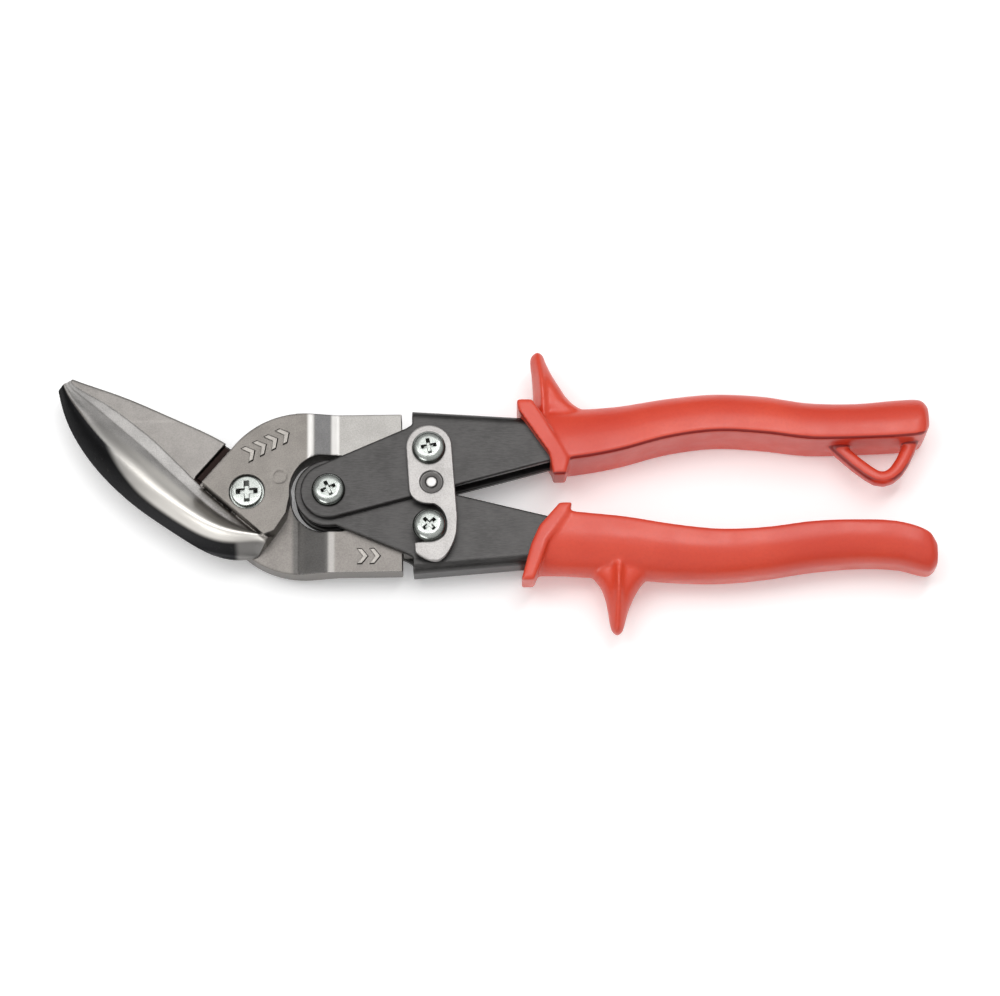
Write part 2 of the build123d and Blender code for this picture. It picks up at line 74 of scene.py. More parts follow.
class Finish:
    """One procedural material.

    Its position is in millimetres from the shared frame's origin; plan points and plan x given
    to beside, right_of, left_of and reach are from the handle pivot.
    """

    def __init__(self, name):
        self.material = bpy.data.materials.new(name)
        self.material.use_nodes = True
        self.tree = self.material.node_tree
        self.surface = self.tree.nodes["Principled BSDF"]
        coordinates = self.tree.nodes.new("ShaderNodeTexCoord")
        in_mm = self.tree.nodes.new("ShaderNodeVectorMath")
        in_mm.operation = "SCALE"
        in_mm.inputs["Scale"].default_value = 1 / mm
        self.tree.links.new(coordinates.outputs["Object"], in_mm.inputs[0])
        self.position = in_mm.outputs[0]
        self.facing = coordinates.outputs["Normal"]

    def feed(self, socket, value):
        if hasattr(value, "is_linked"):
            self.tree.links.new(value, socket)
        else:
            socket.default_value = value

    def set(self, name, value):
        self.feed(self.surface.inputs[name], value)

    def math(self, operation, first, second=0.0):
        node = self.tree.nodes.new("ShaderNodeMath")
        node.operation = operation
        self.feed(node.inputs[0], first)
        self.feed(node.inputs[1], second)
        return node.outputs[0]

    def dot(self, vector, direction):
        node = self.tree.nodes.new("ShaderNodeVectorMath")
        node.operation = "DOT_PRODUCT"
        self.feed(node.inputs[0], vector)
        self.feed(node.inputs[1], direction)
        return node.outputs["Value"]

    def product(self, *values):
        """Product of masks or strengths: a mask that holds where all of them do."""
        result = values[0]
        for value in values[1:]:
            result = self.math("MULTIPLY", result, value)
        return result

    def level(self):
        """1 on faces that look straight up, 0 on walls."""
        return self.dot(self.facing, (0, 0, 1))

    def spread(self, value, low, high, out_low=0.0, out_high=1.0):
        """Maps low..high to out_low..out_high with soft ends; low may be above high."""
        node = self.tree.nodes.new("ShaderNodeMapRange")
        node.interpolation_type = "SMOOTHSTEP"
        self.feed(node.inputs["Value"], value)
        node.inputs["From Min"].default_value = low
        node.inputs["From Max"].default_value = high
        node.inputs["To Min"].default_value = out_low
        node.inputs["To Max"].default_value = out_high
        return node.outputs["Result"]

    def noise(self, size, detail=3.0, stretch=(1, 1, 1), roughness=0.5):
        """Noise whose blotches are about size millimetres, longer along stretched axes."""
        scaled = self.tree.nodes.new("ShaderNodeVectorMath")
        scaled.operation = "MULTIPLY"
        self.feed(scaled.inputs[0], self.position)
        scaled.inputs[1].default_value = [1 / (size * s) for s in stretch]
        node = self.tree.nodes.new("ShaderNodeTexNoise")
        self.feed(node.inputs["Vector"], scaled.outputs[0])
        node.inputs["Scale"].default_value = 1.0
        node.inputs["Detail"].default_value = detail
        node.inputs["Roughness"].default_value = roughness
        return node.outputs["Fac"]

    def mix(self, share, first, second):
        node = self.tree.nodes.new("ShaderNodeMix")
        node.data_type = "RGBA"
        self.feed(node.inputs["Factor"], share)
        color_inputs = [socket for socket in node.inputs if socket.type == "RGBA"]
        for socket, color in zip(color_inputs, (first, second)):
            self.feed(socket, color if hasattr(color, "is_linked") else (*color, 1.0))
        return next(socket for socket in node.outputs if socket.type == "RGBA")

    def bump(self, height, depth, under=None):
        """Bump of the given depth in millimetres; under is a bump that it adds to."""
        node = self.tree.nodes.new("ShaderNodeBump")
        node.inputs["Strength"].default_value = 1.0
        node.inputs["Distance"].default_value = depth * mm
        self.feed(node.inputs["Height"], height)
        if under is not None:
            self.feed(node.inputs["Normal"], under)
        return node.outputs["Normal"]

    def beside(self, first, second, blur=0.4):
        """1 to the left of the plan line from first to second, 0 to its right."""
        along = Vector((second[0] - first[0], second[1] - first[1], 0)).normalized()
        left = Vector((-along.y, along.x, 0))
        start = Vector((first[0] + handle_pivot_x, first[1] + handle_pivot_y, 0))
        distance = self.math("SUBTRACT", self.dot(self.position, left), left.dot(start))
        return self.spread(distance, -blur, blur)

    def right_of(self, x, blur):
        """1 to the right of an upright line in plan, 0 to its left."""
        return self.beside((x, 50), (x, -50), blur)

    def left_of(self, x, blur):
        """1 to the left of an upright line in plan, 0 to its right."""
        return self.beside((x, -50), (x, 50), blur)

    def reach(self, center):
        """Distance in plan from a point, in millimetres."""
        flat = self.tree.nodes.new("ShaderNodeVectorMath")
        flat.operation = "MULTIPLY_ADD"
        self.feed(flat.inputs[0], self.position)
        flat.inputs[1].default_value = (1, 1, 0)
        flat.inputs[2].default_value = (-center[0] - handle_pivot_x, -center[1] - handle_pivot_y, 0)
        length = self.tree.nodes.new("ShaderNodeVectorMath")
        length.operation = "LENGTH"
        self.feed(length.inputs[0], flat.outputs["Vector"])
        return length.outputs["Value"]

    def rounded(self, radius):
        """Normal of the surface with its edges rounded."""
        node = self.tree.nodes.new("ShaderNodeBevel")
        node.samples = 6
        node.inputs["Radius"].default_value = radius * mm
        return node.outputs["Normal"]

    def edges(self, radius):
        """1 on convex edges and in corners, 0 on open faces."""
        plain = self.tree.nodes.new("ShaderNodeNewGeometry")
        alignment = self.dot(self.rounded(radius), plain.outputs["Normal"])
        return self.spread(alignment, 0.985, 0.80)


# ======================================================================================
# Materials
# ======================================================================================

def front_crease(finish):
    """1 on the edge between the front of the upper grip and its inner side."""
    toward_gap = finish.dot(finish.facing, (0, -1, 0))
    slanting = finish.product(finish.spread(toward_gap, 0.30, 0.50), finish.spread(toward_gap, 0.97, 0.90))
    looking_up = finish.spread(finish.level(), 0.15, 0.3)
    upper_half = finish.beside((0, 2), (100, 2), 0.5)
    return finish.product(slanting, looking_up, upper_half)


def red_vinyl():
    """Semi-gloss moulded vinyl with a faint orange peel and painted shade along the front crease."""
    finish = Finish("red_vinyl")
    tone = finish.spread(finish.noise(22, detail=2), 0.3, 0.7)
    speck = finish.noise(0.9, detail=4, roughness=0.6)
    body = finish.mix(tone, (0.63, 0.047, 0.020), (0.70, 0.064, 0.027))
    speckled = finish.mix(finish.spread(speck, 0.35, 0.8, 0.0, 0.25), body, (0.52, 0.034, 0.018))
    # painted shade: the edge between the upper grip's front and its inner side is darkened
    crease_shade = finish.product(front_crease(finish), 0.85)
    finish.set("Base Color", finish.mix(crease_shade, speckled, (0.20, 0.008, 0.008)))
    finish.set("Roughness", finish.spread(finish.noise(5), 0.3, 0.7, 0.30, 0.40))
    finish.set("Subsurface Weight", 0.10)
    finish.set("Subsurface Radius", (0.0025, 0.0006, 0.0004))
    finish.set("Specular IOR Level", 0.5)
    finish.set("Coat Weight", 0.10)
    finish.set("Coat Roughness", 0.22)
    ripple = finish.bump(finish.noise(9, detail=2), 0.12)
    finish.set("Normal", finish.bump(speck, 0.010, ripple))
    return finish.material


def steel(name, color, roughness, grain_along=(1, 1, 1), grain=1.0):
    """Ground or satin steel with a fine grain; returns the finish for further layers."""
    finish = Finish(name)
    fine = finish.noise(0.35, detail=5, stretch=grain_along, roughness=0.7)
    cloud = finish.noise(6)
    dark = tuple(0.74 * c for c in color)
    light = tuple(min(1.0, 1.18 * c) for c in color)
    tone = finish.math("ADD", finish.product(fine, 0.65), finish.product(cloud, 0.35))
    finish.grain = finish.spread(tone, 0.35, 0.65)
    finish.color = finish.mix(finish.grain, dark, light)
    finish.rough = finish.spread(tone, 0.3, 0.7, roughness - 0.06, roughness + 0.07)
    finish.set("Metallic", 1.0)
    finish.normal = finish.bump(fine, 0.016 * grain, finish.rounded(0.3))
    return finish


def layer(finish, share, color):
    """Lays a colour over a steel finish where share is 1."""
    finish.color = finish.mix(share, finish.color, color)


def grained(finish, color):
    """A colour with the grain of its finish."""
    return finish.mix(finish.grain, tuple(0.78 * c for c in color), tuple(1.16 * c for c in color))


def wear_and_highlight_edges(finish, radius, strength, color):
    """Lightens a finish along its edges: rubbed bare there, with a painted highlight of their chamfers."""
    layer(finish, finish.product(finish.edges(radius), strength), color)


def close(finish):
    """Connects a steel finish's layers to its surface."""
    finish.set("Base Color", finish.color)
    finish.set("Roughness", finish.rough)
    finish.set("Normal", finish.normal)
    return finish.material


def paint_bend_shade_and_highlight(finish, slopes, bright, shade, highlight_strength):
    """Painted shade and painted highlight of the tang's bend: dark on its slopes, bright where it rounds
    over.
    """
    upward = finish.spread(finish.level(), 0.45, 0.75)
    bands = [(*slope, 0.7, 0.85, grained(finish, shade)) for slope in slopes]
    bands += [(*band, 0.45, highlight_strength, (0.50, 0.49, 0.475)) for band in bright]
    for first, last, blur, strength, color in bands:
        share = finish.product(finish.left_of(last, blur), finish.right_of(first, blur), upward)
        layer(finish, finish.product(share, strength), color)


def polish_and_highlight_crown(finish, jaw):
    """The jaw's crown is polished, and a broad painted highlight lies just outside it, brightest near the
    heel.
    """
    height = finish.dot(finish.position, (0, 0, 1))
    toward_heel = finish.spread(finish.dot(finish.position, (1, 0, 0)), -106, -90)
    # polished band with a painted highlight, lighter towards the heel
    polish_and_highlight = finish.product(finish.spread(height, 12.8, 14.8), jaw)
    layer(finish, polish_and_highlight, finish.mix(toward_heel, (0.34, 0.33, 0.315), (0.70, 0.675, 0.635)))
    finish.rough = finish.math("ADD", finish.rough, finish.product(polish_and_highlight, 0.04))


def blacken_foot(finish, jaw, outward):
    """The foot of the jaw's outer flank is black and scuffed, and widens towards the tip."""
    height = finish.dot(finish.position, (0, 0, 1))
    tip = finish.left_of(-56, 6.0)
    foot = finish.spread(finish.math("ADD", height, finish.product(tip, -1.8)), 14.4, 13.0)
    flank = finish.product(foot, jaw, finish.spread(outward, 0.0, 0.25))
    scuffs = finish.spread(finish.noise(1.6, detail=5, roughness=0.7), 0.60, 0.78, 1.0, 0.80)
    heel = finish.right_of(-24.5, 1.0)
    black_to_grey = finish.mix(heel, (0.020, 0.020, 0.021), (0.22, 0.213, 0.205))
    layer(finish, finish.product(flank, scuffs), black_to_grey)
    finish.rough = finish.math("SUBTRACT", finish.rough, finish.product(flank, 0.08))


def front_blade_steel():
    """Grey satin steel: a lighter tang, a pale inner side of the jaw, a polished crown with a painted
    highlight, and painted shade and highlights on the tang's bend.
    """
    finish = steel("front_blade_steel", (0.185, 0.172, 0.158), 0.40, grain=2.2)
    below_boss = finish.beside((-17.7, -13.0), (-34.9, 1.9), 0.3)
    left_of_boss = finish.beside((-33.9, 2.8), (-26.1, 11.9), 0.3)
    jaw = finish.math("MAXIMUM", below_boss, left_of_boss)
    tang = finish.right_of(2.8, 0.5)
    layer(finish, tang, grained(finish, (0.30, 0.29, 0.276)))
    # painted shade on the bend's slope and painted highlights where it rounds over
    paint_bend_shade_and_highlight(finish, [(-4.0, 0.7)], [(-5.6, -4.0), (0.7, 2.8)], (0.135, 0.135, 0.137), 0.9)
    outward = finish.dot(finish.facing, (-0.72, -0.69, 0))
    inner_side = finish.product(jaw, finish.spread(outward, 0.05, -0.25))
    layer(finish, inner_side, grained(finish, (0.50, 0.485, 0.47)))
    polish_and_highlight_crown(finish, jaw)
    blacken_foot(finish, jaw, outward)
    wear_and_highlight_edges(finish, 0.6, 0.5, (0.66, 0.65, 0.63))
    return close(finish)


def rear_blade_steel():
    """Satin steel with a lighter jaw, painted shade and a painted highlight on the tang's bend, and painted
    shade, near black, in the recess beside the front blade's boss.
    """
    finish = steel("rear_blade_steel", (0.185, 0.172, 0.160), 0.40, grain=2.0)
    # painted shade on the bend's slopes and a painted highlight where it rounds over
    paint_bend_shade_and_highlight(finish, [(-9.9, -0.3), (-6.7, -0.3)], [(-0.3, 1.4)], (0.085, 0.082, 0.079), 0.35)
    jaw_line = ((-34.3, 4.4), (-25.6, 14.6))
    layer(finish, finish.beside(*jaw_line, 0.3), grained(finish, (0.235, 0.222, 0.210)))
    # painted shade: the recess beside the front blade's boss is painted near black
    recess = finish.product(finish.beside(*jaw_line, 0.15), finish.beside((-27.6, 15.9), (-36.2, 5.9), 0.15))
    layer(finish, recess, (0.015, 0.010, 0.009))
    wear_and_highlight_edges(finish, 0.6, 0.55, (0.70, 0.69, 0.67))
    return close(finish)


def oxide_steel():
    """Black-oxide sheet with faint rolling marks, and along its edges bare metal with a painted highlight.
    """
    finish = steel("oxide_steel", (0.056, 0.054, 0.053), 0.34, grain_along=(6, 1, 1), grain=0.8)
    scratch = finish.noise(0.5, detail=4, stretch=(14, 1, 1), roughness=0.7)
    layer(finish, finish.spread(scratch, 0.68, 0.85, 0.0, 0.35), (0.22, 0.21, 0.20))
    wear_and_highlight_edges(finish, 0.45, 0.5, (0.38, 0.37, 0.35))
    finish.set("Metallic", 0.85)
    return close(finish)


# colour of edges rubbed bare, with their painted highlight
worn_and_highlight_zinc = (0.86, 0.85, 0.83)


def bright_zinc():
    """Zinc of the screws and other small hardware, with painted shade down the sides of a head."""
    finish = steel("screw_zinc", (0.36, 0.38, 0.36), 0.20, grain=1.2)
    # painted shade: the sides of a head are darkened
    side = finish.spread(finish.level(), 0.88, 0.55)
    layer(finish, finish.product(side, 0.85), (0.045, 0.052, 0.044))
    wear_and_highlight_edges(finish, 0.35, 0.5, worn_and_highlight_zinc)
    return close(finish)


def latch_zinc():
    """Zinc plate whose dimple has painted shade in a ring round a painted highlight at its centre."""
    finish = steel("latch_zinc", (0.31, 0.298, 0.290), 0.36)
    from_dimple = finish.reach((27.5, 1.4))
    # painted shade: a dark ring round the dimple
    ring = finish.product(finish.spread(from_dimple, 3.1, 2.6), finish.spread(from_dimple, 1.1, 1.7))
    layer(finish, finish.product(ring, 0.85), (0.035, 0.033, 0.032))
    # painted highlight: the dimple's centre is lightened
    layer(finish, finish.spread(from_dimple, 1.6, 0.7), (0.46, 0.45, 0.44))
    wear_and_highlight_edges(finish, 0.5, 0.5, worn_and_highlight_zinc)
    return close(finish)


def cast_mark_steel():
    """Satin steel of a raised mark, with painted shade along its sloped sides."""
    finish = steel("cast_mark_steel", (0.30, 0.282, 0.262), 0.38, grain=2.0)
    # painted shade: the mark's sloped sides are darkened
    side = finish.spread(finish.level(), 0.96, 0.80)
    layer(finish, finish.product(side, 0.9), (0.040, 0.037, 0.034))
    return close(finish)


vinyl = red_vinyl()
front_steel = front_blade_steel()
rear_steel = rear_blade_steel()
oxide = oxide_steel()
plate_zinc = latch_zinc()
cast_mark = cast_mark_steel()
screw_zinc = bright_zinc()
wire_steel = close(steel("spring_steel", (0.30, 0.29, 0.28), 0.30, grain=0.5))


# ======================================================================================
# Shape helpers
# ======================================================================================

weld_distance = 0.002 * mm


def paint(piece, material):
    piece.data.materials.clear()
    piece.data.materials.append(material)


def smooth_by_angle(piece, degrees):
    piece.data.shade_smooth()
    piece.data.set_sharp_from_angle(angle=radians(degrees))


def weld(piece):
    modifier = piece.modifiers.new("weld", "WELD")
    modifier.merge_threshold = weld_distance


def crisp_shading_group(degrees):
    """Node group that welds a mesh and shades it smooth up to an angle between faces."""
    group = bpy.data.node_groups.new("crisp_shading", "GeometryNodeTree")
    group.interface.new_socket("Geometry", in_out="INPUT", socket_type="NodeSocketGeometry")
    group.interface.new_socket("Geometry", in_out="OUTPUT", socket_type="NodeSocketGeometry")
    start = group.nodes.new("NodeGroupInput")
    end = group.nodes.new("NodeGroupOutput")
    merge = group.nodes.new("GeometryNodeMergeByDistance")
    merge.inputs["Distance"].default_value = weld_distance
    faces = group.nodes.new("GeometryNodeSetShadeSmooth")
    faces.domain = "FACE"
    edges = group.nodes.new("GeometryNodeSetShadeSmooth")
    edges.domain = "EDGE"
    edges.inputs["Shade Smooth"].default_value = False
    angle = group.nodes.new("GeometryNodeInputMeshEdgeAngle")
    sharp = group.nodes.new("FunctionNodeCompare")
    sharp.operation = "GREATER_THAN"
    sharp.inputs["B"].default_value = radians(degrees)
    group.links.new(angle.outputs["Unsigned Angle"], sharp.inputs["A"])
    group.links.new(start.outputs[0], merge.inputs["Geometry"])
    group.links.new(merge.outputs["Geometry"], faces.inputs["Geometry"])
    group.links.new(faces.outputs["Geometry"], edges.inputs["Geometry"])
    group.links.new(sharp.outputs["Result"], edges.inputs["Selection"])
    group.links.new(edges.outputs["Geometry"], end.inputs[0])
    return group


crisp_shading = crisp_shading_group(28)


def machined(piece, material):
    """A CAD piece with crisp shading and its own material."""
    modifier = piece.modifiers.new("crisp_shading", "NODES")
    modifier.node_group = crisp_shading
    paint(piece, material)


def mould(piece, voxel, smoothing):
    """Blends a CAD piece's joins as a mould does: remeshed finely, then smoothed."""
    weld(piece)
    remesh = piece.modifiers.new("remesh", "REMESH")
    remesh.mode = "VOXEL"
    remesh.voxel_size = voxel * mm
    remesh.use_smooth_shade = True
    smooth = piece.modifiers.new("smooth", "SMOOTH")
    smooth.factor = 0.5
    smooth.iterations = smoothing


def new_piece(name, vertices, faces, material):
    mesh = bpy.data.meshes.new(name)
    mesh.from_pydata([tuple(v) for v in vertices], [], faces)
    mesh.update()
    piece = bpy.data.objects.new(name, mesh)
    bpy.context.scene.collection.objects.link(piece)
    mesh.materials.append(material)
    return piece


def side_faces(ring_count, around):
    """Four-sided faces between neighbouring rings of as many points each."""
    faces = []
    for ring in range(ring_count - 1):
        for index in range(around):
            following = (index + 1) % around
            low = ring * around
            high = low + around
            faces.append((low + index, low + following, high + following, high + index))
    return faces


def loft(rings):
    """Vertices and faces of a closed solid through rings of equal length."""
    count = len(rings[0])
    vertices = [point for ring in rings for point in ring]
    ends = [tuple(reversed(range(count))), tuple(range(len(vertices) - count, len(vertices)))]
    return vertices, ends + side_faces(len(rings), count)


def tube(points, radius, sides=12):
    """Vertices and faces of a closed tube along points; they and the radius are in metres."""
    rings = []
    up = Vector((0, 0, 1))
    for index, point in enumerate(points):
        before = points[max(index - 1, 0)]
        after = points[min(index + 1, len(points) - 1)]
        along = (after - before).normalized()
        across = along.cross(up).normalized()
        rise = across.cross(along)
        turns = [2 * pi * side / sides for side in range(sides)]
        rings.append([point + (across * cos(turn) + rise * sin(turn)) * radius for turn in turns])
    return loft(rings)


def lathe(center, profile, steps=96):
    """Vertices and faces of a turned solid; the profile runs from the axis back to the axis."""
    vertices = []
    rings = profile[1:-1]
    for radius, z in rings:
        for step in range(steps):
            turn = 2 * pi * step / steps
            vertices.append(place(center[0] + radius * cos(turn), center[1] + radius * sin(turn), z))
    faces = side_faces(len(rings), steps)
    last = (len(rings) - 1) * steps
    vertices += [place(*center, profile[0][1]), place(*center, profile[-1][1])]
    for step in range(steps):
        following = (step + 1) % steps
        faces.append((len(vertices) - 2, following, step))
        faces.append((len(vertices) - 1, last + step, last + following))
    return vertices, faces


def arc(center_r, center_z, radius_r, radius_z, first, last, count):
    """Profile points on a quarter or less of an ellipse, angles in degrees."""
    points = []
    for index in range(count + 1):
        angle = radians(first + (last - first) * index / count)
        points.append((center_r + radius_r * cos(angle), center_z + radius_z * sin(angle)))
    return points


def turned(x, y, degrees):
    """A plan point turned about the origin."""
    angle = radians(degrees)
    return x * cos(angle) - y * sin(angle), x * sin(angle) + y * cos(angle)


def cross_cutter(center, top, arm, width, depth, turn):
    """A tapered cross, wide at the top, to cut a screw's recess with."""
    vertices = []
    for z, grow in ((top - depth, 0.55), (top + 0.3, 1.05)):
        a = arm * grow
        w = width / 2 * (0.5 + 0.5 * grow)
        corners = [(w, w), (w, a), (-w, a), (-w, w), (-a, w), (-a, -w),
                   (-w, -w), (-w, -a), (w, -a), (w, -w), (a, -w), (a, w)]
        for x, y in corners:
            turned_x, turned_y = turned(x, y, turn)
            vertices.append(place(center[0] + turned_x, center[1] + turned_y, z))
    count = len(corners)
    ends = [tuple(reversed(range(count))), tuple(range(count, 2 * count))]
    return vertices, ends + side_faces(2, count)


def apply_modifiers(piece):
    """Gives the piece the mesh that its modifiers make, and removes them."""
    bpy.context.view_layer.update()
    shape = piece.evaluated_get(bpy.context.evaluated_depsgraph_get())
    mesh = bpy.data.meshes.new_from_object(shape)
    piece.modifiers.clear()
    piece.data = mesh


def carve(piece, cutter, solver):
    """Cuts one closed piece from another and removes the cutter."""
    modifier = piece.modifiers.new("carve", "BOOLEAN")
    modifier.operation = "DIFFERENCE"
    modifier.solver = solver
    modifier.object = cutter
    apply_modifiers(piece)
    bpy.data.objects.remove(cutter)


def screw(node, center, body, profile, recess):
    """A turned screw with a cross recess in its head, in place of its CAD node."""
    piece = new_piece(node + "_turned", *lathe(center, profile), screw_zinc)
    top = max(z for radius, z in profile)
    carve(piece, new_piece("cutter", *cross_cutter(center, top, *recess), screw_zinc), "EXACT")
    smooth_by_angle(piece, 35)
    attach(piece, body)
    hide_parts(node)


def pan_profile(shaft_radius, shaft_bottom, head_bottom, height):
    """Half outline of a domed pan-head screw, as radius and height."""
    profile = [(0, shaft_bottom), (shaft_radius - 0.3, shaft_bottom), (shaft_radius, shaft_bottom + 0.3),
               (shaft_radius, head_bottom), (4.35, head_bottom)]
    profile += [(4.5, head_bottom + 0.15), (4.5, head_bottom + 0.45)]
    profile += arc(2.2, head_bottom + 0.45, 2.3, height - 0.45, 8, 90, 14)
    profile += [(0, head_bottom + height)]
    return profile


# ======================================================================================
# Steel parts
# ======================================================================================

for name, voxel, smoothing, material in (
    ("front_blade", 0.22, 5, front_steel),
    ("rear_blade", 0.22, 5, rear_steel),
    ("upper_handle", 0.28, 3, oxide),
    ("lower_handle", 0.28, 3, oxide),
    ("latch", 0.15, 6, plate_zinc),
):
    mould(nodes[name], voxel, smoothing)
    paint(nodes[name], material)
for name in nodes:
    if name.endswith(("_screw", "_nut", "_washer", "_collar", "_bush")):
        machined(nodes[name], screw_zinc)

blade_pivot = (-21.8, 0)
handle_pivot = (0, 0)
upper_link = (26.9, 10.8)
lower_link = (26.9, -10.8)
flat_head = [(0, -9.0), (2.7, -9.0), (3.0, -8.7), (3.0, 4.85), (4.0, 4.85), (4.15, 5.0), (4.15, 6.0)]
flat_head += arc(3.85, 6.0, 0.30, 0.33, 0, 90, 5)
flat_head += [(2.0, 6.35), (0, 6.35)]

# arm, width and depth of a recess; each screw stopped at its own turn
large_recess = (3.1, 1.5, 1.3)
small_recess = (2.2, 1.0, 1.3)

screw("blade_pivot_screw", blade_pivot, "rear_blade_body", flat_head, (*large_recess, 2))
screw("handle_pivot_screw", handle_pivot, "lower_handle_body", pan_profile(2.5, -9.0, 6.05, 2.1),
      (*small_recess, 24))
screw("upper_link_screw", upper_link, "upper_handle_body", pan_profile(2.0, -7.0, 7.95, 2.1),
      (*small_recess, 10))
screw("lower_link_screw", lower_link, "lower_handle_body", pan_profile(2.0, -9.0, 7.95, 2.1),
      (*small_recess, 42))


# ======================================================================================
# Grips
# ======================================================================================

def curve_value(stations, x, column):
    """Value of a smooth curve through one column of the stations, whose first column is x."""
    last = len(stations) - 2
    index = max(0, min(last, sum(1 for station in stations[1:] if station[0] <= x)))
    here, following = stations[index], stations[index + 1]
    before = stations[max(index - 1, 0)]
    after = stations[min(index + 2, last + 1)]
    span = following[0] - here[0]
    share = max(0.0, min(1.0, (x - here[0]) / span))
    slope_here = (following[column] - before[column]) / (following[0] - before[0]) * span
    slope_following = (after[column] - here[column]) / (after[0] - here[0]) * span
    square = share * share
    cube = square * share
    return (
        (2 * cube - 3 * square + 1) * here[column]
        + (cube - 2 * square + share) * slope_here
        + (3 * square - 2 * cube) * following[column]
        + (cube - square) * slope_following
    )


def rounded_ring(x, side, outer, inner, back, front, wide, crisp, left_end):
    """Cross-section with a round outer side and crisp inner edges, cut off by a slanted end."""
    shoulder = min(1.6 * wide, 0.8 * (outer - inner - crisp))
    corners = [
        (outer - shoulder, back + wide, shoulder, wide, -90),
        (outer - shoulder, front - wide, shoulder, wide, 0),
        (inner + crisp, front - crisp, crisp, crisp, 90),
        (inner + crisp, back + crisp, crisp, crisp, 180),
    ]
    ring = []
    steps = 12
    for y, z, across, rise, first in corners:
        for step in range(steps + 1):
            turn = radians(first + 90 * step / steps)
            reach = y + across * cos(turn)
            ring.append(place(max(x, left_end(reach)), side * reach, z + rise * sin(turn)))
    return ring


def grip_shell(side, stations, slant, back=-8.8, front=8.4):
    """The long body of a grip; slant is the x of its slanted end at y 20 and the slope."""
    def left_end(reach):
        return slant[0] + (20 - reach) * slant[1]

    rings = []
    last = 72
    for index in range(last + 1):
        share = index / last
        x = stations[0][0] + (stations[-1][0] - stations[0][0]) * (1 - (1 - share) ** 1.3)
        outer = curve_value(stations, x, 1)
        inner = curve_value(stations, x, 2)
        slim = max(0.0, curve_value(stations, x, 3))
        wide = min(8.2, 0.56 * (outer - inner), 0.48 * (front - back - 2 * slim))
        rings.append(rounded_ring(x, side, outer, inner, back + slim, front - slim, wide, 1.0, left_end))
    return loft(rings)


def channel_shell(side, back, front):
    """The space that the steel channel takes inside a grip."""
    stations = [(40, 21.1, 3.0), (51, 20.3, 5.6), (58.8, 20.1, 7.4), (70, 19.9, 9.9), (87, 21.4, 14.4),
                (104, 22.9, 17.4), (118, 22.0, 16.4), (134, 19.9, 14.4), (150, 20.4, 14.4)]
    rings = []
    last = 44
    for index in range(last + 1):
        x = stations[0][0] + (stations[-1][0] - stations[0][0]) * index / last
        outer = curve_value(stations, x, 1)
        inner = curve_value(stations, x, 2)
        rings.append(rounded_ring(x, side, outer, inner, back, front, 2.5, 0.1, lambda reach: 0))
    return loft(rings)


def collar_shell(outline):
    """The flange at a grip's mouth; its ends slope inwards towards the back."""
    low = min(y for x, y in outline)
    high = max(y for x, y in outline)
    middle_x = sum(x for x, y in outline) / len(outline)
    back_slope = [(-9.0, 5.0), (-5.8, 3.3), (-2.6, 1.6), (0.5, 0.0)]
    front_bevel = [(8.3, 0.0), (8.8, 0.15), (9.0, 0.6)]
    rings = []
    for z, cut in back_slope + front_bevel:
        narrowing = cut * 0.6 if z > 0 else 0.0
        ring = []
        for x, y in outline:
            inset_x = x + (narrowing if x < middle_x else -narrowing)
            ring.append(place(inset_x, min(max(y, low + cut), high - cut), z))
        rings.append(ring)
    return loft(rings)


def spur_shell(side, stations, ridge_at):
    """Finger guard, ridged front and back; stations are y, left, right and half thickness."""
    rings = []
    last = 36
    sides = 48
    for index in range(last + 1):
        y = stations[0][0] + (stations[-1][0] - stations[0][0]) * index / last
        left = curve_value(stations, y, 1)
        right = curve_value(stations, y, 2)
        height = curve_value(stations, y, 3)
        ridge_shift = (ridge_at[1] - ridge_at[0]) * index / last
        ring = []
        for step in range(sides):
            turn = 2 * pi * step / sides
            across = (right - left) / 2 * cos(turn)
            off_ridge = (left + right) / 2 + across - ridge_at[0] - ridge_shift
            ridge = 3.2 * (1 - 0.8 * index / last) * max(0.0, 1 - abs(off_ridge) / 1.5)
            ring.append(place((left + right) / 2 + across, side * y, (0.86 * height + ridge) * sin(turn)))
        rings.append(ring)
    return loft(rings)


def loop_shell():
    """The hang loop: a flat-sided bar bent to a round-cornered triangle."""
    centre_line = [(133.5, 15.0), (137.5, 11.0), (141.5, 7.2), (144.8, 4.5), (147.0, 3.1), (148.8, 2.8),
                   (150.6, 3.3), (152.4, 4.8), (154.2, 7.4), (155.8, 10.6), (157.4, 14.4), (158.4, 18.0)]
    half_width = 1.95
    half_thickness = 2.6
    sides = 20
    rings = []
    for index, point in enumerate(centre_line):
        before = centre_line[max(index - 1, 0)]
        after = centre_line[min(index + 1, len(centre_line) - 1)]
        along = Vector((after[0] - before[0], after[1] - before[1], 0)).normalized()
        across = Vector((-along.y, along.x, 0))
        ring = []
        for step in range(sides):
            turn = 2 * pi * step / sides
            sideways = half_width * (abs(cos(turn)) ** 0.7) * (1 if cos(turn) > 0 else -1)
            rise = half_thickness * (abs(sin(turn)) ** 0.7) * (1 if sin(turn) > 0 else -1)
            ring.append(place(point[0] + across.x * sideways, point[1] + across.y * sideways, rise))
        rings.append(ring)
    return loft(rings)


def joined(name, shells, material):
    """One object from several closed shells."""
    vertices = []
    faces = []
    for shell_vertices, shell_faces in shells:
        start = len(vertices)
        vertices.extend(shell_vertices)
        faces.extend(tuple(start + corner for corner in face) for face in shell_faces)
    return new_piece(name, vertices, faces, material)


def grip(name, node, body, shells, channel):
    """A moulded grip from overlapping shells, hollow for the handle's steel channel."""
    piece = joined(name, shells, vinyl)
    mould(piece, voxel=0.42, smoothing=12)
    apply_modifiers(piece)
    carve(piece, new_piece("channel", *channel, vinyl), "MANIFOLD")
    smooth_by_angle(piece, 60)
    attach(piece, body)
    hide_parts(node)


